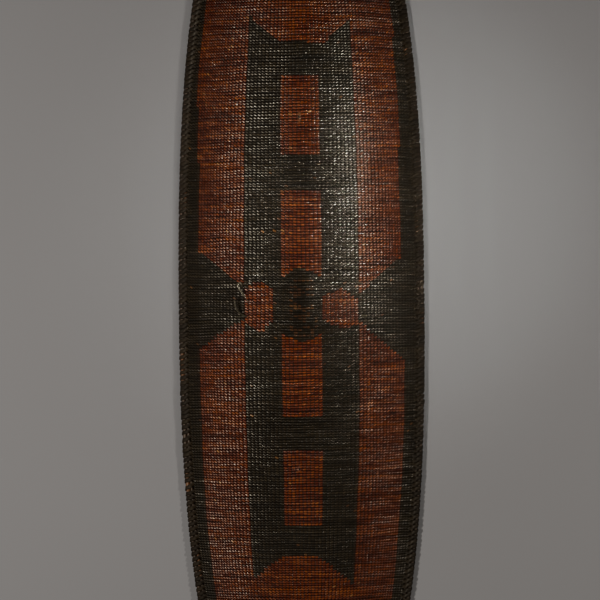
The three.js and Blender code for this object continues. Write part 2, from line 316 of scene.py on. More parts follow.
# Single stitches that have worn bare to the pale fibre: across, up and how far they have worn.
bare_stitches = [
    (0.012, 0.257, 1.0), (0.022, 0.183, 0.8), (-0.070, -0.158, 0.9), (-0.113, -0.160, 0.9),
    (-0.113, -0.204, 0.9), (-0.112, -0.246, 0.9), (0.108, -0.020, 0.9), (-0.031, 0.110, 1.0),
    (-0.022, 0.0945, 1.0), (-0.092, 0.0045, 0.9), (0.0, 0.0435, 0.8), (0.0585, 0.0235, 0.7),
    (0.077, 0.019, 0.7), (0.019, 0.285, 0.6), (-0.034, 0.094, 0.9), (-0.050, 0.0935, 0.9),
    (0.122, 0.0245, 0.9), (-0.014, 0.252, 0.5), (0.062, -0.092, 0.6), (-0.034, -0.214, 0.6),
    (-0.120, -0.326, 0.6), (-0.114, -0.326, 0.7), (-0.108, -0.326, 0.6), (0.058, -0.0055, 0.7),
    (0.064, -0.0055, 0.4),
]
# Two places where the rows have parted: across, up, half width, half height and how bare the cane is.
parted_places = [(-0.0012, 0.248, 0.0027, 0.0085, 0.45), (-0.0050, -0.229, 0.0024, 0.0050, 0.15)]
parted_depth = 1.5
parted_lip_height = 0.92
parted_slit_share = 0.42
parted_lip_sharpness = 4
parted_slit_sharpness = 6
# Where the front is polished more than elsewhere, or less: across, up, half width, half height, amount.
polished_places = [
    (0.060, 0.145, 0.042, 0.150, 1.0), (0.020, 0.008, 0.013, 0.032, 1.3),
    (0.112, -0.004, 0.024, 0.045, 0.25), (-0.095, 0.0, 0.030, 0.032, -0.25),
    (0.0, 0.37, 0.14, 0.09, -0.25), (0.0, -0.40, 0.14, 0.09, 0.16),
    (0.0, -0.22, 0.035, 0.16, 0.18), (0.10, -0.22, 0.06, 0.16, 0.14),
]
# The middle, where many stitches have worn bare on both sides of a dark fold.
bare_centre = [(-0.014, 0.028), (0.018, 0.028), (0.020, -0.050), (-0.016, -0.050)]


def inside(shape, x, y):
    """True for the points that lie within a closed outline."""
    result = np.zeros(x.shape, bool)
    for (x1, y1), (x2, y2) in zip(shape, shape[1:] + shape[:1]):
        crosses = (y1 > y) != (y2 > y)
        with np.errstate(divide="ignore", invalid="ignore"):
            reach = x1 + (y - y1) * (x2 - x1) / (y2 - y1)
        result ^= crosses & (x < reach)
    return result


def from_rim(across, y):
    """How far a stitch lies from the edge of the fabric."""
    return edge_half_width(y) - np.abs(across) / edge_half_width(0) * cane_half_width(y)


def is_red(across, y):
    """Whether the strand on top is red-brown, for stitches at these places."""
    across = across - np.interp(y, drift_heights, drift_sides)
    red = np.zeros(across.shape, bool)
    for shape in red_shapes:
        red |= inside(shape, across, y)
    left = np.interp(y, border_heights, border_left)
    right = np.interp(y, border_heights, border_right)
    return red & (from_rim(across, y) > np.where(across < 0, left, right)) & (np.abs(y) < end_border)


def slow_wave(x, y, size, seed):
    """A gentle, even wander between about -1 and 1, with waves of about the given size."""
    waves = np.random.default_rng(seed)
    total = 0
    for _ in range(4):
        angle = waves.uniform(0, 2 * math.pi)
        rate = 2 * math.pi / (size * waves.uniform(0.6, 1.6))
        phase = waves.uniform(0, 2 * math.pi)
        total = total + np.sin(rate * (x * math.cos(angle) + y * math.sin(angle)) + phase)
    return total / 2.5


def spot(x, y, middle_x, middle_y, half_width, half_height):
    """A soft patch that is 1 in its middle and fades outwards."""
    return np.exp(-(((x - middle_x) / half_width) ** 2) - ((y - middle_y) / half_height) ** 2)


def along_rows(reach):
    """Chance values for every stitch, alike over some stitches along a row but not between rows."""
    values = rng.normal(0, 1, (row_count, cane_count + reach))
    return sum(values[:, shift:shift + cane_count] for shift in range(reach)) / reach**0.5


canes = cane_edges()
rows = row_edges()
cane_count = len(canes) - 1
row_count = len(rows) - 1
cane_middle = (canes[1:] + canes[:-1]) / 2
row_middle = (rows[1:] + rows[:-1]) / 2
stitch_across, stitch_y = np.meshgrid(cane_middle * edge_half_width(0), row_middle)
stitch_red = is_red(stitch_across, stitch_y)

# How each stitch differs from the next: its height, lean and place, its dye, its polish and its wear.
stitch_jitter = rng.normal(0, 0.075, stitch_red.shape) + 0.09 * along_rows(9)
stitch_jitter = stitch_jitter.clip(-0.45, 0.24)
row_tilt = 0.45 * along_rows(8)
row_wander = 0.00024 * along_rows(5)
stitch_roll = rng.normal(0, 0.11, stitch_red.shape)
stitch_tone = (0.5 + 0.17 * along_rows(12) + rng.normal(0, 0.15, stitch_red.shape)).clip(0, 1)
handled_most = sum(
    amount * spot(stitch_across, stitch_y, *place) for *place, amount in polished_places
)
beside_window = np.exp(-(((np.abs(stitch_across) - 0.022) / 0.007) ** 2)) * (stitch_y > 0.02)
handled_most = handled_most + 0.3 * beside_window
handled_least = 0.17 + 0.06 * np.tanh(stitch_y / 0.05)
left_panel = np.exp(-(((stitch_across + 0.118) / 0.030) ** 2)) * stitch_red
stitch_handled = handled_least + 0.53 * handled_most + 0.07 * left_panel
rim_dullness = np.where(stitch_across < 0, 0.22, 0.06)
dull_rim_width = 0.016
stitch_handled -= rim_dullness * (from_rim(stitch_across, stitch_y) < dull_rim_width)
stitch_handled += 0.12 * along_rows(6) + rng.normal(0, 0.11, stitch_red.shape)
# Red stitches are a little lighter in the middle of the front and darker towards both sides.
red_darkening_half_width = 0.10
red_darker_to_sides = 0.06 - 0.12 * (np.abs(stitch_across) / red_darkening_half_width).clip(0, 1)
stitch_tone = stitch_tone + np.where(stitch_red, red_darker_to_sides, 0)
fold_across = -0.003
fold_up = -0.006
fold_half_width = 0.008
fold_half_height = 0.050
dark_fold = np.exp(
    -(((stitch_across - fold_across) / fold_half_width) ** 2)
    - ((stitch_y - fold_up) / fold_half_height) ** 4
)
stitch_tone = (stitch_tone - 0.45 * dark_fold).clip(0, 1)
stitch_handled = (stitch_handled - 0.5 * dark_fold).clip(0, 1)
stray_share = 0.004
centre_share = 0.45
in_centre = inside(bare_centre, stitch_across, stitch_y)
stitch_worn = np.where(rng.random(stitch_red.shape) < stray_share, 0.6, 0.0)
stitch_worn = np.where(in_centre & (rng.random(stitch_red.shape) < centre_share), 0.55, stitch_worn)
for x, y, worn in bare_stitches:
    from_mark = np.hypot(stitch_across * edge_half_width(stitch_y) / edge_half_width(0) - x, stitch_y - y)
    stitch_worn[np.unravel_index(from_mark.argmin(), from_mark.shape)] = worn


def fabric_face(first_row, last_row, columns, lines, relief, side):
    """Points, faces, marks and stitches of one side of a band, and the loop of points round it.

    A column is (share across the bead, height on the strand, height in the gap between rows) and a
    line (share up the row, whether it lies on the strand). side is 1 for the front, -1 for the back.
    The marks of a point are its height, whether it lies in a gap, how bare the parted rows have left
    it, and the number of the bead's shoulder that it lies on, or 0.
    """
    share_c, ridge_c, gap_c = np.array(columns).T
    share_l = np.array([share for share, _ in lines])
    ridge_l = np.array([on_strand for _, on_strand in lines])
    cane_of = np.append(np.repeat(np.arange(cane_count), len(columns)), cane_count - 1)
    row_of = np.append(np.repeat(np.arange(first_row, last_row), len(lines)), last_row - 1)
    part_c = np.append(np.tile(share_c, cane_count), 1.0)
    part_l = np.append(np.tile(share_l, last_row - first_row), 1.0)
    ridge = np.append(np.tile(ridge_c, cane_count), ridge_c[0])[None, :]
    gap = np.append(np.tile(gap_c, cane_count), gap_c[0])[None, :]
    on_strand = np.append(np.tile(ridge_l, last_row - first_row), False)[:, None]
    spread = canes[cane_of] + part_c * (canes[cane_of + 1] - canes[cane_of])
    pitch = rows[row_of + 1] - rows[row_of]
    level = rows[row_of] + part_l * pitch
    across, up = np.meshgrid(spread, level)
    x = across * cane_half_width(up)
    lean = slant_of(across, up)
    swing = stitch_swing * pitch[:, None] * np.interp(part_c, swing_shares, swing_sides)[None, :]
    inner = np.clip((panel_half_length - np.abs(up)) / calm_edge, 0, 1)
    wander = np.where(on_strand, row_wander[row_of[:, None], cane_of[None, :]], 0)
    y = up + inner * (swing * lean + wander + row_sway * slow_wave(x, up, row_sway_length, 3))
    x = x + inner * cane_sway * slow_wave(x * cane_sway_closeness, up, cane_sway_length, 4)
    limit = edge_half_width(y)
    x = np.clip(x, -limit, limit)
    jitter = stitch_jitter[row_of[:, None], cane_of[None, :]]
    jitter = jitter + stitch_roll[row_of[:, None], cane_of[None, :]] * (part_c - 0.5)[None, :]
    tilt = (part_l[:, None] - 0.5) * row_tilt[row_of[:, None], cane_of[None, :]]
    crest = np.where(on_strand, ridge * (1 + jitter) + tilt, gap)
    parted = np.zeros(crest.shape)
    for middle_x, middle_y, half_width, half_height, bareness in parted_places:
        reach = np.hypot((x - middle_x) / half_width, (y - middle_y) / half_height)
        lip = np.clip((1.0 - reach) * parted_lip_sharpness, 0, 1)
        slit = np.clip((parted_slit_share - reach) * parted_slit_sharpness, 0, 1)
        crest = crest * (1 - lip) + lip * (parted_lip_height - parted_depth * slit)
        parted = np.maximum(parted, bareness * lip * (1 - slit))
    offset = fabric_half_thickness - relief * (1 - crest)
    points = weave_point(x, y, side * offset)
    height, width = x.shape
    number = np.arange(height * width).reshape(height, width)
    past_left = x <= -limit
    past_right = x >= limit
    first_kept = np.maximum(past_left.sum(axis=1) - 1, 0)
    last_kept = width - 1 - np.maximum(past_right.sum(axis=1) - 1, 0)
    column = np.clip(np.arange(width)[None, :], first_kept[:, None], last_kept[:, None])
    number = np.take_along_axis(number, column, axis=1)
    quads = np.stack(
        [number[:-1, :-1], number[:-1, 1:], number[1:, 1:], number[1:, :-1]], axis=-1
    ).reshape(-1, 4)
    stitch = (row_of[:-1, None] * cane_count + cane_of[None, :-1]).reshape(-1)
    if side < 0:
        quads = quads[:, ::-1]
    loop = [number[0, :], number[:, -1], number[-1, ::-1], number[::-1, 0]]
    in_gap = np.broadcast_to(~on_strand, crest.shape)
    shoulder = np.where((part_c > 0) & (part_c != 0.5) & (part_c < 1), np.arange(width) + 1, 0)
    shoulder = np.broadcast_to(shoulder if side > 0 else 0 * shoulder, crest.shape)
    marks = np.stack([values.reshape(-1) for values in (crest, in_gap, parted, shoulder)], axis=-1)
    return points.reshape(-1, 3), quads, marks, stitch, loop


def slant_of(across, y):
    """Which way the beads lean: '\\' on the left of the front and '/' on the right."""
    shift = lean_shift * slow_wave(across, y, lean_shift_length, 9)
    return -np.tanh((across + shift) * lean_sharpness)


def join_loops(first, second, points):
    """Triangles of a wall between two sides of a border that have different numbers of points."""
    a = [first[0]]
    for index in first[1:]:
        if index != a[-1]:
            a.append(index)
    b = [second[0]]
    for index in second[1:]:
        if index != b[-1]:
            b.append(index)

    def shares(chain):
        steps = np.linalg.norm(np.diff(points[chain], axis=0), axis=1)
        return np.append(0, np.cumsum(steps)) / max(steps.sum(), 1e-9)

    share_a = shares(a)
    share_b = shares(b)
    faces = []
    i = 0
    j = 0
    while i < len(a) - 1 or j < len(b) - 1:
        if j == len(b) - 1 or (i < len(a) - 1 and share_a[i + 1] <= share_b[j + 1]):
            faces.append((a[i + 1], a[i], b[j]))
            i += 1
        else:
            faces.append((a[i], b[j], b[j + 1]))
            j += 1
    return faces


def clean_faces(quads):
    """Quads as tuples, without repeated corners, and which of them are left."""
    faces = []
    kept = []
    same = quads == np.roll(quads, -1, axis=1)
    whole = ~same.any(axis=1)
    for number, quad in enumerate(quads.tolist()):
        if whole[number]:
            faces.append(tuple(quad))
            kept.append(number)
            continue
        corners = [corner for corner, repeats in zip(quad, same[number]) if not repeats]
        if len(corners) >= 3:
            faces.append(tuple(corners))
            kept.append(number)
    return faces, np.array(kept)


def new_piece(name, points, faces, materials, nodes):
    """A piece of the shield that takes the place of its CAD nodes."""
    used = np.unique(np.concatenate([np.ravel(face) for face in faces]))
    renumber = np.full(len(points), -1)
    renumber[used] = np.arange(len(used))
    mesh = bpy.data.meshes.new(name)
    mesh.from_pydata(points[used].tolist(), [], [tuple(renumber[list(face)]) for face in faces])
    mesh.shade_smooth()
    for material in materials:
        mesh.materials.append(material)
    piece = bpy.data.objects.new(name, mesh)
    bpy.context.scene.collection.objects.link(piece)
    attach(piece, "root")
    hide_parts(*nodes)
    return piece, used


def store(mesh, name, values, domain="POINT"):
    """Keeps one number for each point or face of a mesh, which its material reads."""
    attribute = mesh.attributes.new(name, "FLOAT", domain)
    attribute.data.foreach_set("value", np.asarray(values, np.float32))


def new_group(name, inputs, outputs):
    """An empty shader group with named sockets, and the nodes at its two ends."""
    group = bpy.data.node_groups.new(name, "ShaderNodeTree")
    for label, kind, default in inputs:
        socket = group.interface.new_socket(label, in_out="INPUT", socket_type=kind)
        socket.default_value = default
    for label, kind in outputs:
        group.interface.new_socket(label, in_out="OUTPUT", socket_type=kind)
    start = group.nodes.new("NodeGroupInput")
    end = group.nodes.new("NodeGroupOutput")
    return group, start.outputs, end


def ramp_value(tree, value, low, high, to_low=0.0, to_high=1.0):
    """A value spread smoothly from one range to another."""
    node = add_node(
        tree,
        "ShaderNodeMapRange",
        {"Value": value, "From Min": low, "From Max": high, "To Min": to_low, "To Max": to_high},
        interpolation_type="SMOOTHSTEP",
    )
    return node.outputs["Result"]


bare_cane = (0.085, 0.060, 0.034, 1)
fibre_group, given, result = new_group(
    "woven fibre",
    [
        ("Place", "NodeSocketVector", (0, 0, 0)),
        ("Groove Shade", "NodeSocketColor", (0.004, 0.002, 0.001, 1)),
        ("Strand", "NodeSocketColor", (0.02, 0.016, 0.01, 1)),
        ("Crest Wear And Highlight", "NodeSocketColor", (0.05, 0.04, 0.03, 1)),
        ("Worn", "NodeSocketColor", (0.10, 0.04, 0.02, 1)),
        ("Smoothest", "NodeSocketFloat", 0.3),
        ("Roughest", "NodeSocketFloat", 0.6),
    ],
    [
        ("Color", "NodeSocketColor"),
        ("Roughness", "NodeSocketFloat"),
        ("Polish", "NodeSocketFloat"),
        ("Normal", "NodeSocketVector"),
    ],
)
tree = fibre_group
run = add_node(tree, "ShaderNodeMapping", {"Vector": given["Place"], "Scale": (220, 2600, 2600)})
streaks = add_node(
    tree, "ShaderNodeTexNoise", {"Vector": run.outputs["Vector"], "Scale": 1.0, "Detail": 3}
).outputs["Fac"]
patches = add_node(
    tree, "ShaderNodeTexNoise", {"Vector": given["Place"], "Scale": 11.0, "Detail": 4}
).outputs["Fac"]
crest = add_node(tree, "ShaderNodeAttribute", attribute_name="crest").outputs["Fac"]
tone = add_node(tree, "ShaderNodeAttribute", attribute_name="tone").outputs["Fac"]
worn = add_node(tree, "ShaderNodeAttribute", attribute_name="worn").outputs["Fac"]
# Painted shade: the colour darkens from the strand colour to the groove colour down the sides of the beads
# and into the gaps between rows and canes.
colour = mix_colour(tree, ramp_value(tree, crest, 0.25, 0.9), given["Groove Shade"], given["Strand"])
# Painted highlight, partly also wear: the highest parts of the beads turn patchily towards the paler crest
# colour.
crest_wear_and_highlight = add_node(
    tree,
    "ShaderNodeMath",
    {0: ramp_value(tree, crest, 0.86, 1.12), 1: ramp_value(tree, patches, 0.3, 0.7, 0.4, 1.0)},
    operation="MULTIPLY",
).outputs[0]
colour = mix_colour(tree, crest_wear_and_highlight, colour, given["Crest Wear And Highlight"])
worn_top = add_node(
    tree, "ShaderNodeMath", {0: ramp_value(tree, crest, 0.55, 0.9), 1: worn}, operation="MULTIPLY"
).outputs[0]
colour = mix_colour(tree, worn_top, colour, given["Worn"])
parted = add_node(tree, "ShaderNodeAttribute", attribute_name="parted").outputs["Fac"]
colour = mix_colour(tree, parted, colour, bare_cane)
shade = add_node(
    tree,
    "ShaderNodeMath",
    {0: ramp_value(tree, tone, 0.0, 1.0, 0.55, 1.5), 1: ramp_value(tree, streaks, 0.25, 0.75, 0.75, 1.25)},
    operation="MULTIPLY",
).outputs[0]
hue = ramp_value(tree, tone, 0.0, 1.0, 0.492, 0.509)
colour = add_node(
    tree, "ShaderNodeHueSaturation", {"Color": colour, "Value": shade, "Hue": hue}
).outputs["Color"]
tree.links.new(colour, result.inputs["Color"])
polish = add_node(
    tree,
    "ShaderNodeMath",
    {0: ramp_value(tree, patches, 0.35, 0.65, 0.0, 0.5), 1: ramp_value(tree, crest, 0.3, 1.0, 0.5, 0.0)},
    operation="ADD",
).outputs[0]
roughness = add_node(
    tree,
    "ShaderNodeMapRange",
    {"Value": polish, "To Min": given["Smoothest"], "To Max": given["Roughest"]},
).outputs["Result"]
tree.links.new(roughness, result.inputs["Roughness"])
handled = add_node(tree, "ShaderNodeAttribute", attribute_name="handled").outputs["Fac"]
shine = add_node(
    tree, "ShaderNodeMath", {0: handled, 1: ramp_value(tree, crest, 0.55, 0.98)}, operation="MULTIPLY"
).outputs[0]
tree.links.new(shine, result.inputs["Polish"])
bump = add_node(tree, "ShaderNodeBump", {"Height": streaks, "Strength": 0.35, "Distance": 0.0003})
tree.links.new(bump.outputs["Normal"], result.inputs["Normal"])


def fibre_material(name, place, groove_shade, strand, crest, worn, smoothest, roughest):
    """One dye of fibre, with painted shade in its grooves and, on its crests, painted highlight mixed with
    wear. place is "fabric" or, for a separate strand, "unbent".
    """
    material, tree, shader = new_material(name)
    if place == "fabric":
        place_output = add_node(tree, "ShaderNodeTexCoord").outputs["Object"]
    else:
        place_output = add_node(tree, "ShaderNodeAttribute", attribute_name=place).outputs["Vector"]
    colours = {"Groove Shade": groove_shade, "Strand": strand, "Crest Wear And Highlight": crest, "Worn": worn}
    values = {"Smoothest": smoothest, "Roughest": roughest, "Place": place_output}
    fibre = add_node(tree, "ShaderNodeGroup", colours | values, node_tree=fibre_group)
    shader.inputs["Specular IOR Level"].default_value = 0.25
    shader.inputs["Coat Roughness"].default_value = 0.27
    shader.inputs["Coat IOR"].default_value = 2.6
    tree.links.new(fibre.outputs["Polish"], shader.inputs["Coat Weight"])
    tree.links.new(fibre.outputs["Color"], shader.inputs["Base Color"])
    tree.links.new(fibre.outputs["Roughness"], shader.inputs["Roughness"])
    tree.links.new(fibre.outputs["Normal"], shader.inputs["Normal"])
    return material


# The groove colours below are painted shade for the gaps between beads and rows; the crest colours are
# partly wear and partly painted highlight on the bead tops.
black_fibre = fibre_material(
    "black_fibre",
    "fabric",
    groove_shade=(0.0015, 0.0012, 0.0008, 1),
    strand=(0.0118, 0.0077, 0.0039, 1),
    crest=(0.025, 0.0185, 0.0115, 1),
    worn=(0.12, 0.052, 0.020, 1),
    smoothest=0.40,
    roughest=0.65,
)
red_fibre = fibre_material(
    "red_fibre",
    "fabric",
    groove_shade=(0.004, 0.001, 0.0005, 1),
    strand=(0.088, 0.0135, 0.0028, 1),
    crest=(0.15, 0.040, 0.011, 1),
    worn=(0.25, 0.125, 0.05, 1),
    smoothest=0.38,
    roughest=0.62,
)

front_columns = [(0.0, 0.42, -0.45), (0.18, 0.90, -0.20), (0.5, 1.00, 0.30), (0.82, 0.90, -0.15)]
front_lines = [(0.0, False), (0.27, True), (0.73, True)]
back_columns = [(0.0, 0.66, 0.0), (0.5, 1.0, 0.42)]
back_lines = [(0.0, False), (0.5, True)]
band_names = ["weave_lower_end", "weave_lower", "weave_middle", "weave_upper", "weave_upper_end"]
band_starts = [round(row_count * number / band_count) for number in range(band_count + 1)]
for name, first_row, last_row in zip(band_names, band_starts, band_starts[1:]):
    front = fabric_face(first_row, last_row, front_columns, front_lines, front_relief, 1)
    back = fabric_face(first_row, last_row, back_columns, back_lines, back_relief, -1)
    points = np.concatenate([front[0], back[0]])
    front_faces, front_kept = clean_faces(front[1])
    back_faces, back_kept = clean_faces(back[1] + len(front[0]))
    wall = []
    for front_side, back_side in zip(front[4], back[4]):
        wall += join_loops(list(front_side), list(back_side + len(front[0])), points)
    faces = front_faces + back_faces + wall
    piece, used = new_piece(
        name, points, faces, [black_fibre, red_fibre], ["woven_panel"]
    )
    mesh = piece.data
    stitch = np.concatenate([front[3][front_kept], back[3][back_kept], np.zeros(len(wall), int)])
    mesh.polygons.foreach_set("material_index", stitch_red.reshape(-1)[stitch].astype(np.int32))
    store(mesh, "tone", stitch_tone.reshape(-1)[stitch], "FACE")
    store(mesh, "worn", stitch_worn.reshape(-1)[stitch], "FACE")
    store(mesh, "handled", stitch_handled.reshape(-1)[stitch], "FACE")
    marks = np.concatenate([front[2], back[2]])[used]
    store(mesh, "crest", marks[:, 0])
    store(mesh, "parted", marks[:, 2])
    smooth = np.ones(len(faces), bool)
    smooth[len(faces) - len(wall):] = False
    mesh.polygons.foreach_set("use_smooth", smooth)
    ends = np.zeros(2 * len(mesh.edges), int)
    mesh.edges.foreach_get("vertices", ends)
    end_marks = marks[ends].reshape(-1, 2, 4)
    in_gap = (end_marks[:, :, 1] > 0).all(axis=1)
    on_shoulder = (end_marks[:, 0, 3] > 0) & (end_marks[:, 0, 3] == end_marks[:, 1, 3])
    mesh.edges.foreach_set("use_edge_sharp", in_gap | on_shoulder)
    mesh.update()

# The rim's two rods: peeled switches bent right round the edge of the fabric, a thicker one outside
# and a thinner one on its inner side. Knots and bare, orange-brown patches show between the wraps.
outer_rod_radius = 0.0034
inner_rod_radius = 0.0023
rod_outset = 0.0010
rod_drop = 0.0004
inner_rod_reach = 0.0062
rod_step = 0.005
knot_spacing = 0.15
knot_rise = 0.0006
knot_length = 0.006
knot_wander = 0.04
rod_waves = 31
rod_wave_height = 0.05
bare_patch_length = 0.10
bare_patch_start = 0.75
bare_patch_strength = 0.8


def rim_line():
    """Distance, centre, inward direction and way up the weave all round the rim, from the right."""
    turns = [(1, 1, 1), (-1, 1, -1), (-1, -1, 1), (1, -1, -1)]
    centres = []
    inwards = []
    for across, along, order in turns:
        flip = np.array([across, along, 1])
        centres.append((quarter_centre * flip)[::order][:-1])
        inwards.append((-quarter_normal * flip)[::order][:-1])
    centre = np.concatenate(centres + [centres[0][:1]])
    inward = np.concatenate(inwards + [inwards[0][:1]])
    steps = np.linalg.norm(np.diff(centre, axis=0), axis=1)
    return np.append(0, np.cumsum(steps)), centre, inward, up_the_weave(centre, inward)


rim_distance, rim_centre, rim_inward, rim_up = rim_line()
rim_length = rim_distance[-1]


def rim_frame(distance):
    """The outer rod's centre and the directions along the rim, inwards, up the weave and out of it."""
    distance = np.mod(distance, rim_length)

    def blend(values):
        columns = [np.interp(distance, rim_distance, values[:, axis]) for axis in range(3)]
        return np.stack(columns, axis=-1)

    def unit(vectors):
        return vectors / np.linalg.norm(vectors, axis=-1, keepdims=True)

    inward = unit(blend(rim_inward))
    centre = blend(rim_centre) - inward * rod_outset - np.array([0, 0, rod_drop])
    along = np.stack([inward[..., 1], -inward[..., 0], 0 * distance], axis=-1)
    up = unit(blend(rim_up))
    out = np.cross(up, along)
    out = np.where(out[..., 2:] < 0, -out, out)
    return centre, along, inward, up, unit(out)


def tube(name, rings, run, closed, material, nodes):
    """A piece skinned over rings of points. run holds each point's place in the unbent strand."""
    count, sides = rings.shape[:2]
    number = np.arange(count * sides).reshape(count, sides)
    following = np.roll(number, -1, axis=0) if closed else number[1:]
    here = number if closed else number[:-1]
    quads = np.stack(
        [here, np.roll(here, -1, axis=1), np.roll(following, -1, axis=1), following], axis=-1
    )
    faces = [tuple(quad) for quad in quads.reshape(-1, 4).tolist()]
    if not closed:
        faces.append(tuple(number[0, ::-1].tolist()))
        faces.append(tuple(number[-1].tolist()))
    piece, _ = new_piece(name, rings.reshape(-1, 3), faces, [material], nodes)
    unbent = piece.data.attributes.new("unbent", "FLOAT_VECTOR", "POINT")
    unbent.data.foreach_set("vector", run.reshape(-1).astype(np.float32))
    return piece


wood_group, given, result = new_group(
    "straight grain",
    [
        ("Place", "NodeSocketVector", (0, 0, 0)),
        ("Dark", "NodeSocketColor", (0.02, 0.01, 0.005, 1)),
        ("Pale", "NodeSocketColor", (0.08, 0.035, 0.015, 1)),
        ("Bare", "NodeSocketColor", (0.25, 0.10, 0.03, 1)),
        ("Smoothest", "NodeSocketFloat", 0.35),
        ("Roughest", "NodeSocketFloat", 0.65),
    ],
    [("Color", "NodeSocketColor"), ("Roughness", "NodeSocketFloat"), ("Normal", "NodeSocketVector")],
)
tree = wood_group
run = add_node(tree, "ShaderNodeMapping", {"Vector": given["Place"], "Scale": (35, 800, 800)})
grain = add_node(
    tree,
    "ShaderNodeTexNoise",
    {"Vector": run.outputs["Vector"], "Scale": 1.0, "Detail": 4, "Distortion": 0.4},
).outputs["Fac"]
stains = add_node(
    tree, "ShaderNodeTexNoise", {"Vector": given["Place"], "Scale": 28.0, "Detail": 4}
).outputs["Fac"]
bare = add_node(tree, "ShaderNodeAttribute", attribute_name="bare").outputs["Fac"]
colour = mix_colour(tree, ramp_value(tree, grain, 0.3, 0.7), given["Dark"], given["Pale"])
colour = mix_colour(tree, ramp_value(tree, stains, 0.5, 0.75, 0.0, 0.7), colour, given["Dark"])
colour = mix_colour(tree, bare, colour, given["Bare"])
tree.links.new(colour, result.inputs["Color"])
roughness = add_node(
    tree,
    "ShaderNodeMapRange",
    {"Value": stains, "From Min": 0.3, "From Max": 0.7, "To Min": given["Smoothest"],
     "To Max": given["Roughest"]},
).outputs["Result"]
tree.links.new(roughness, result.inputs["Roughness"])
bump = add_node(tree, "ShaderNodeBump", {"Height": grain, "Strength": 0.5, "Distance": 0.0004})
tree.links.new(bump.outputs["Normal"], result.inputs["Normal"])


def wood_material(name, dark, pale, bare, smoothest, roughest):
    """Wood whose grain follows the unbent piece."""
    material, tree, shader = new_material(name)
    place = add_node(tree, "ShaderNodeAttribute", attribute_name="unbent").outputs["Vector"]
    inputs = {"Place": place, "Dark": dark, "Pale": pale, "Bare": bare}
    inputs |= {"Smoothest": smoothest, "Roughest": roughest}
    wood = add_node(tree, "ShaderNodeGroup", inputs, node_tree=wood_group)
    tree.links.new(wood.outputs["Color"], shader.inputs["Base Color"])
    tree.links.new(wood.outputs["Roughness"], shader.inputs["Roughness"])
    tree.links.new(wood.outputs["Normal"], shader.inputs["Normal"])
    return material


rod_wood = wood_material(
    "rod_wood",
    dark=(0.010, 0.006, 0.004, 1),
    pale=(0.042, 0.020, 0.010, 1),
    bare=(0.12, 0.045, 0.013, 1),
    smoothest=0.45,
    roughest=0.62,
)


def rod(name, radius, reach, sides, seed, node):
    """One rod of the rim, as a closed hoop with knots and a slight wander."""
    chance = np.random.default_rng(seed)
    count = round(rim_length / rod_step)
    distance = np.arange(count) * rim_length / count
    centre, along, inward, up, out = rim_frame(distance)
    centre = centre + up * reach
    turn = 2 * math.pi * np.arange(sides) / sides
    knots = np.arange(0, rim_length, knot_spacing)
    knots = knots + chance.uniform(-knot_wander, knot_wander, len(knots))
    sizes = chance.uniform(0.4, 1.0, len(knots))
    swell = sum(
        size * np.exp(-(((distance - knot) / knot_length) ** 2)) for knot, size in zip(knots, sizes)
    )
    girth = radius * (0.97 + rod_wave_height * np.sin(distance * rod_waves + seed)) + knot_rise * swell
    ring = girth[:, None, None] * (
        inward[:, None, :] * np.cos(turn)[None, :, None]
        + np.array([0, 0, 1.0])[None, None, :] * np.sin(turn)[None, :, None]
    )
    flat = np.stack(
        [
            np.repeat(distance[:, None], sides, axis=1),
            girth[:, None] * np.cos(turn)[None, :],
            girth[:, None] * np.sin(turn)[None, :],
        ],
        axis=-1,
    )
    piece = tube(name, centre[:, None, :] + ring, flat, True, rod_wood, [node])
    patches = slow_wave(distance, 0 * distance, bare_patch_length, seed) - bare_patch_start
    patches = (patches / (1 - bare_patch_start)).clip(0, 1)
    store(piece.data, "bare", np.repeat(patches, sides) * bare_patch_strength)
    return piece


rod("rim_rod_outer_switch", outer_rod_radius, 0.0, 12, 21, "rim_rod_outer")
rod("rim_rod_inner_switch", inner_rod_radius, inner_rod_reach, 10, 22, "rim_rod_inner")

# The rim's lashing: one flat strand of blackened fibre, wound slantwise over both rods and down
# through the edge of the fabric, right round the shield. It lies unevenly: here and there it has
# slipped apart and bares the rods, and a few wraps stand proud.
lashing_width = 0.0060
lashing_thickness = 0.0013
lashing_pitch = 0.0066
bare_places = [0.02, 0.60, 1.60, 1.665, 2.2]
slipped_pitch = 0.011
proud_wraps = [(-1, -0.079), (-1, -0.122), (-1, -0.137), (-1, -0.160), (-1, -0.207), (1, -0.147)]
proud_by = 0.35
lashing_top = 0.0030
lashing_bottom = 0.0032
lashing_corner = 0.0008
lashing_slack = 0.0006
strand_sides = 8
strand_squareness = 0.8


def lashing_starts():
    """Where each wrap begins, backwards round the rim, so that the wraps lean to the right."""
    chance = np.random.default_rng(31)
    starts = [rim_length]
    while starts[-1] > 0:
        pitch = lashing_pitch * chance.uniform(0.85, 1.2)
        if min(abs(starts[-1] - place) for place in bare_places) < slipped_pitch / 2:
            pitch = slipped_pitch
        starts.append(starts[-1] - pitch)
    starts = np.array(starts)
    return rim_length - (rim_length - starts) * rim_length / (rim_length - starts[-1])


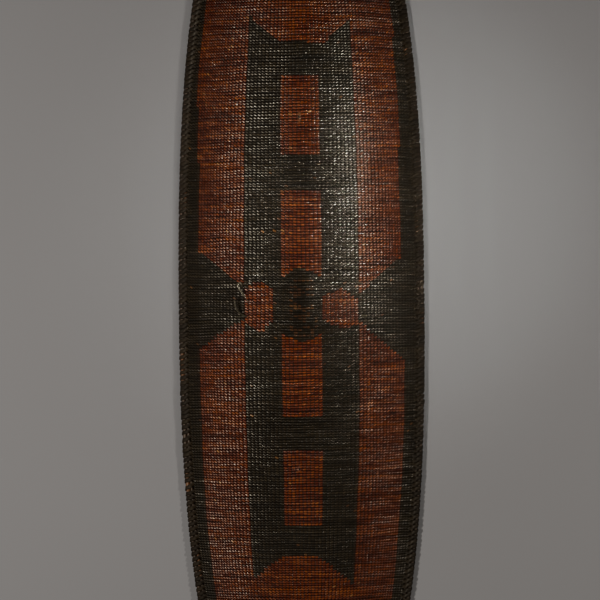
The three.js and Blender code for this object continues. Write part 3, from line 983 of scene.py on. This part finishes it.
def lashing_loop():
    """The loop of a wrap as seen along the rim: steps up the weave and out of it, and the advance."""
    outer = outer_rod_radius + lashing_thickness / 2
    inner = inner_rod_radius + lashing_thickness / 2
    loop = []
    for degrees in (-100, -130, -160, -190, -220, -250):
        turn = math.radians(degrees)
        loop.append((outer * math.cos(turn), outer * math.sin(turn)))
    for degrees in (110, 75, 40):
        turn = math.radians(degrees)
        loop.append((inner_rod_reach + inner * math.cos(turn), inner * math.sin(turn)))
    farthest = slot_reach - rod_outset * 0.5
    loop.append((farthest - lashing_corner, lashing_top))
    loop.append((farthest, 0.0))
    loop.append((farthest - lashing_corner, -lashing_bottom))
    loop.append((inner_rod_reach, -inner - lashing_slack))
    loop = np.array(loop)
    advance = np.array([0, 0.02, 0.04, 0.08, 0.16, 0.28, 0.42, 0.54, 0.64, 0.74, 0.80, 0.86, 0.93])
    return loop, advance


def oval_section(width, thickness, sides):
    """The corners of a flat strand's section, as shares of its two directions."""
    turn = 2 * math.pi * (np.arange(sides) + 0.5) / sides
    across = np.sign(np.cos(turn)) * np.abs(np.cos(turn)) ** strand_squareness
    through = np.sign(np.sin(turn)) * np.abs(np.sin(turn)) ** strand_squareness
    return across * width / 2, through * thickness / 2


def strand(name, path, face_out, widths, thickness, closed, material, slot, nodes, tones, handled):
    """A flat strand along a path. face_out is the direction that its flat side turns to."""
    ahead = np.roll(path, -1, axis=0) - np.roll(path, 1, axis=0)
    if not closed:
        ahead[0] = path[1] - path[0]
        ahead[-1] = path[-1] - path[-2]
    ahead /= np.linalg.norm(ahead, axis=1, keepdims=True)
    side = np.cross(face_out, ahead)
    side /= np.linalg.norm(side, axis=1, keepdims=True)
    outwards = np.cross(ahead, side)
    across, through = oval_section(1.0, 1.0, strand_sides)
    thickness = np.broadcast_to(thickness, widths.shape)
    rings = (
        path[:, None, :]
        + side[:, None, :] * (widths[:, None] * across[None, :])[..., None]
        + outwards[:, None, :] * (thickness[:, None] * through[None, :])[..., None]
    )
    length = np.append(0, np.cumsum(np.linalg.norm(np.diff(path, axis=0), axis=1)))
    flat = np.stack(
        [
            np.repeat(length[:, None], strand_sides, axis=1),
            widths[:, None] * across[None, :],
            thickness[:, None] * through[None, :],
        ],
        axis=-1,
    )
    piece = tube(name, rings, flat, closed, material, nodes)
    # Painted highlight and shade: the middle of the strand's width is marked high and takes the paler
    # crest colour, its edges are marked low and take the darker groove colour.
    crest = 0.45 + 0.6 * np.tile(1 - 2 * np.abs(across), len(path)).clip(0, 1)
    store(piece.data, "crest", crest)
    store(piece.data, "tone", np.repeat(tones, strand_sides))
    store(piece.data, "worn", np.zeros(len(path) * strand_sides))
    store(piece.data, "handled", np.full(len(path) * strand_sides, handled))
    return piece


# Its crest colour is painted highlight along the middle of each wrap, and its groove colour is painted
# shade at the wraps' edges.
lashing_fibre = fibre_material(
    "lashing_fibre",
    "unbent",
    groove_shade=(0.004, 0.003, 0.002, 1),
    strand=(0.011, 0.0068, 0.0035, 1),
    crest=(0.024, 0.0145, 0.0075, 1),
    worn=(0.12, 0.05, 0.02, 1),
    smoothest=0.52,
    roughest=0.78,
)

starts = lashing_starts()
loop, advance = lashing_loop()
wrap_count = len(starts) - 1
chance = np.random.default_rng(33)
lift = 1 + 0.07 * chance.normal(0, 1, wrap_count).clip(-1.2, 2.0)
wrap_middle, _, _, _, _ = rim_frame((starts[:-1] + starts[1:]) / 2)
for side, height in proud_wraps:
    from_place = np.abs(wrap_middle[:, 1] - height) + np.where(wrap_middle[:, 0] * side > 0, 0, 1)
    lift[from_place.argmin()] += proud_by
distance = (starts[:-1, None] + (starts[1:] - starts[:-1])[:, None] * advance[None, :]).reshape(-1)
centre, along, inward, up, out = rim_frame(distance)
reach_up = np.tile(loop[:, 0], wrap_count)
reach_out = np.tile(loop[:, 1], wrap_count) * np.where(
    np.tile(loop[:, 1], wrap_count) > 0, np.repeat(lift, len(loop)), 1
)
path = centre + up * reach_up[:, None] + out * reach_out[:, None]
middle_of_loop = centre + up * (inner_rod_reach * 0.55)
face_out = path - middle_of_loop
face_out -= along * (face_out * along).sum(axis=1, keepdims=True)
face_out /= np.linalg.norm(face_out, axis=1, keepdims=True)
widths = np.repeat(lashing_width * chance.uniform(0.85, 1.12, wrap_count), len(loop))
tones = np.repeat(chance.uniform(0.25, 0.85, wrap_count), len(loop))
strand(
    "rim_lashing_strand", path, face_out, widths, lashing_thickness, True, lashing_fibre,
    "lashing_strand", ["rim_lashing"], tones, 0.02,
)

# The grip: a handhold carved from one piece of wood, a bowed round bar between two flat feet that
# are bedded against the inside of the fabric. It is smooth from use.
grip_span = 0.200
grip_bar_length = 0.084
grip_bar_thickness = 0.018
grip_bar_width = 0.024
grip_finger_gap = 0.032
grip_foot_length = 0.038
grip_foot_thickness = 0.008
grip_foot_width = 0.036
grip_clearance = 0.0009
grip_steps = 90
grip_sides = 28
grip_wood = wood_material(
    "grip_wood",
    dark=(0.045, 0.020, 0.009, 1),
    pale=(0.14, 0.068, 0.030, 1),
    bare=(0.20, 0.10, 0.045, 1),
    smoothest=0.30,
    roughest=0.50,
)


def smooth_path(points, count, power=0.5):
    """Evenly spaced points of a smooth curve through the given ones."""
    points = np.asarray(points, float)
    points = np.concatenate([[2 * points[0] - points[1]], points, [2 * points[-1] - points[-2]]])
    knots = np.append(0, np.cumsum(np.linalg.norm(np.diff(points, axis=0), axis=1) ** power))
    curve = []
    for number in range(1, len(points) - 2):
        t0, t1, t2, t3 = knots[number - 1:number + 3]
        p0, p1, p2, p3 = points[number - 1:number + 3]
        t = np.linspace(t1, t2, 30, endpoint=False)[:, None]
        a1 = (t1 - t) / (t1 - t0) * p0 + (t - t0) / (t1 - t0) * p1
        a2 = (t2 - t) / (t2 - t1) * p1 + (t - t1) / (t2 - t1) * p2
        a3 = (t3 - t) / (t3 - t2) * p2 + (t - t2) / (t3 - t2) * p3
        b1 = (t2 - t) / (t2 - t0) * a1 + (t - t0) / (t2 - t0) * a2
        b2 = (t3 - t) / (t3 - t1) * a2 + (t - t1) / (t3 - t1) * a3
        curve.append((t2 - t) / (t2 - t1) * b1 + (t - t1) / (t2 - t1) * b2)
    curve = np.concatenate(curve + [points[-2:-1]])
    length = np.append(0, np.cumsum(np.linalg.norm(np.diff(curve, axis=0), axis=1)))
    even = np.linspace(0, length[-1], count)
    return np.stack([np.interp(even, length, curve[:, axis]) for axis in range(curve.shape[1])], axis=-1)


def grip_line():
    """The grip's middle line with its thickness, width and squareness, from foot to foot."""
    foot_depth = fabric_half_thickness + grip_clearance + grip_foot_thickness / 2
    bar_height = middle_height(0, 0) - fabric_half_thickness - grip_finger_gap - grip_bar_thickness / 2
    foot_start = grip_span / 2
    foot_end = foot_start - grip_foot_length
    half = []
    for x in (foot_start, (foot_start + foot_end) / 2, foot_end):
        point = weave_point(x, 0.0, -foot_depth)
        half.append([point[0], point[2], grip_foot_thickness, grip_foot_width, 0.55])
    foot = half[-1]
    bar_end = [grip_bar_length / 2, bar_height, grip_bar_thickness, grip_bar_width, 0.95]
    half.append([(a + b) / 2 for a, b in zip(foot, bar_end)])
    half.append(bar_end)
    half.append([grip_bar_length / 4, bar_height, grip_bar_thickness * 1.02, grip_bar_width * 1.04, 1.0])
    middle = [[0.0, bar_height, grip_bar_thickness * 1.05, grip_bar_width * 1.08, 1.0]]
    mirrored = [[-row[0], *row[1:]] for row in half]
    return mirrored + middle + half[::-1]


line = smooth_path(grip_line(), grip_steps)
ahead = np.gradient(line[:, :2], axis=0)
ahead /= np.linalg.norm(ahead, axis=1, keepdims=True)
turn = 2 * math.pi * (np.arange(grip_sides) + 0.5) / grip_sides
squareness = line[:, 4:5]
across = np.sign(np.cos(turn)) * np.abs(np.cos(turn)) ** squareness
through = np.sign(np.sin(turn)) * np.abs(np.sin(turn)) ** squareness
depth = through * line[:, 2:3] / 2
y = across * line[:, 3:4] / 2
x = line[:, 0:1] - ahead[:, 1:2] * depth
z = line[:, 1:2] + ahead[:, 0:1] * depth
bed = middle_height(x, y) - (fabric_half_thickness + grip_clearance) / surface_normal(x, y)[..., 2]
rings = np.stack([x, y, np.minimum(z, bed)], axis=-1)
length = np.append(0, np.cumsum(np.linalg.norm(np.diff(line[:, :2], axis=0), axis=1)))
flat = np.stack([np.repeat(length[:, None], grip_sides, axis=1), y, depth], axis=-1)
grip = tube("grip_bar_and_feet", rings, flat, False, grip_wood, ["grip"])
store(grip.data, "bare", np.zeros(grip_steps * grip_sides))

# The ties of the grip: on each foot one strand of split fibre goes down through the fabric, under
# the foot and up again, three times, with a short stitch over the front in between. Its ends are
# trimmed on the right, and stick out on the front at the left, stiff and curled, as in the photograph.
tie_width = 0.0027
tie_thickness = 0.0018
tie_columns = [1, 0, -1]
tie_spacing = 0.0065
tie_radius = 0.0014
tie_hole_radius = 0.0022
tie_corner_inset = 0.0025
tie_stitch_height = 0.0031
tie_steps = 260
tie_taper_steps = 9
loose_end_height = 0.0082
tie_middle = grip_span / 2 - grip_foot_length / 2
tie_half_height = grip_foot_width / 2 + 2 * grip_clearance + tie_hole_radius


# Its crest colour is painted highlight along the middle of the strand, and its groove colour is painted
# shade at its edges.
tie_fibre = fibre_material(
    "tie_fibre",
    "unbent",
    groove_shade=(0.008, 0.007, 0.004, 1),
    strand=(0.064, 0.059, 0.044, 1),
    crest=(0.140, 0.130, 0.104, 1),
    worn=(0.12, 0.05, 0.02, 1),
    smoothest=0.20,
    roughest=0.45,
)


def tie_hole(side, column, row):
    """Where a strand passes through the fabric."""
    return side * (tie_middle + column * tie_spacing), row * tie_half_height


def tie_path(side, first_end, last_end):
    """The points of one tie, from loose end to loose end."""
    under = fabric_half_thickness + 2 * grip_clearance + grip_foot_thickness + tie_radius
    points = list(first_end)
    for number, column in enumerate(tie_columns):
        row = 1 if number % 2 == 0 else -1
        for here in (row, -row):
            x, y = tie_hole(side, column, here)
            down = [
                (x, y, fabric_half_thickness),
                (x, y, -fabric_half_thickness),
                (x, y, grip_foot_thickness / 2 - under),
                (x, y - here * tie_corner_inset, -under),
            ]
            points += down if here == row else down[::-1]
        if number + 1 < len(tie_columns):
            following, _ = tie_hole(side, tie_columns[number + 1], -row)
            points.append(((x + following) / 2, y, tie_stitch_height))
    points += last_end
    return np.array([weave_point(*point) for point in points])


def loose_end(hole, steps):
    """A curl that stands off the front, drawn from the hole that it leaves."""
    return [(hole[0] + x, hole[1] + y, loose_end_height * share) for x, y, share in steps]


def carried_along(path):
    """A direction square to a path that turns with it and never twists round it."""
    ahead = np.gradient(path, axis=0)
    ahead /= np.linalg.norm(ahead, axis=1, keepdims=True)
    directions = [np.cross(ahead[0], [0.6, 0.8, 0.0])]
    for step in ahead:
        direction = directions[-1] - step * directions[-1].dot(step)
        directions.append(direction / np.linalg.norm(direction))
    return np.array(directions[1:])


left_first_end = loose_end(tie_hole(-1, 1, 1), [
    (0.0162, -0.0232, 0.75), (0.0134, -0.0184, 0.90), (0.0096, -0.0118, 1.10),
    (0.0064, -0.0062, 1.25), (0.0046, -0.0018, 1.30), (0.0054, 0.0016, 1.20),
    (0.0074, 0.0014, 0.95), (0.0080, -0.0024, 0.60),
])
left_last_end = loose_end(tie_hole(-1, -1, -1), [
    (-0.0050, 0.0030, 0.80), (-0.0105, 0.0091, 1.00), (-0.0128, 0.0170, 1.15),
    (-0.0124, 0.0268, 1.25),
])
for name, node, side, ends in (
    ("grip_tie_left", "grip_lashing_left", -1, (left_first_end, left_last_end)),
    ("grip_tie_right", "grip_lashing_right", 1, ([], [])),
):
    path = smooth_path(tie_path(side, *ends), tie_steps)
    step = np.arange(tie_steps)
    taper = np.clip(np.minimum(step, step[::-1]) / tie_taper_steps, 0.35, 1)
    strand(
        name, path, carried_along(path), tie_width * taper, tie_thickness * taper, False, tie_fibre,
        "lashing_strand", [node], np.full(tie_steps, 0.6), 0.7,
    )
